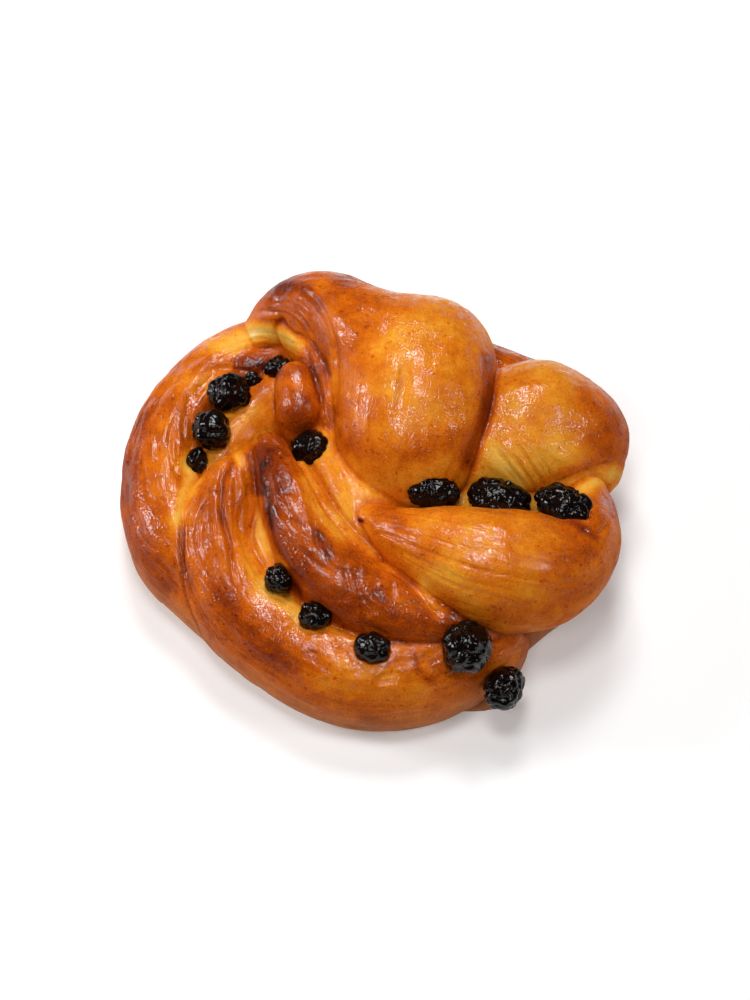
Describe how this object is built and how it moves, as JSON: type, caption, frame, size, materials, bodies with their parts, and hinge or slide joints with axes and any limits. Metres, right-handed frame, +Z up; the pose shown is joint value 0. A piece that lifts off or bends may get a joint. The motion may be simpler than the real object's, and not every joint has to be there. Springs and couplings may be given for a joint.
{
  "type": "raisin bun",
  "caption": "Knotted sweet bun of glossy egg-washed dough, its thick strands folded over one another, with wrinkled raisins sunk in the folds.",
  "frame": {"origin": "middle of the bun's box, on the flat underside it rests on", "axes": "+Z up from the underside; +X along the bun's longest side, to the right as the picture shows it; +Y away from the viewer"},
  "size_m": [0.1207, 0.1077, 0.0501],
  "materials": {
    "dough": "egg-washed and glossy on top, matt below",
    "raisin": "wrinkled, satin to glossy"
  },
  "bodies": {
    "root": {"dough": "dough", "raisin_01": "raisin", "raisin_02": "raisin", "raisin_03": "raisin", "raisin_04": "raisin", "raisin_05": "raisin", "raisin_06": "raisin", "raisin_07": "raisin", "raisin_08": "raisin", "raisin_09": "raisin", "raisin_10": "raisin", "raisin_11": "raisin", "raisin_12": "raisin", "raisin_13": "raisin", "raisin_14": "raisin"}
  },
  "joints": []
}
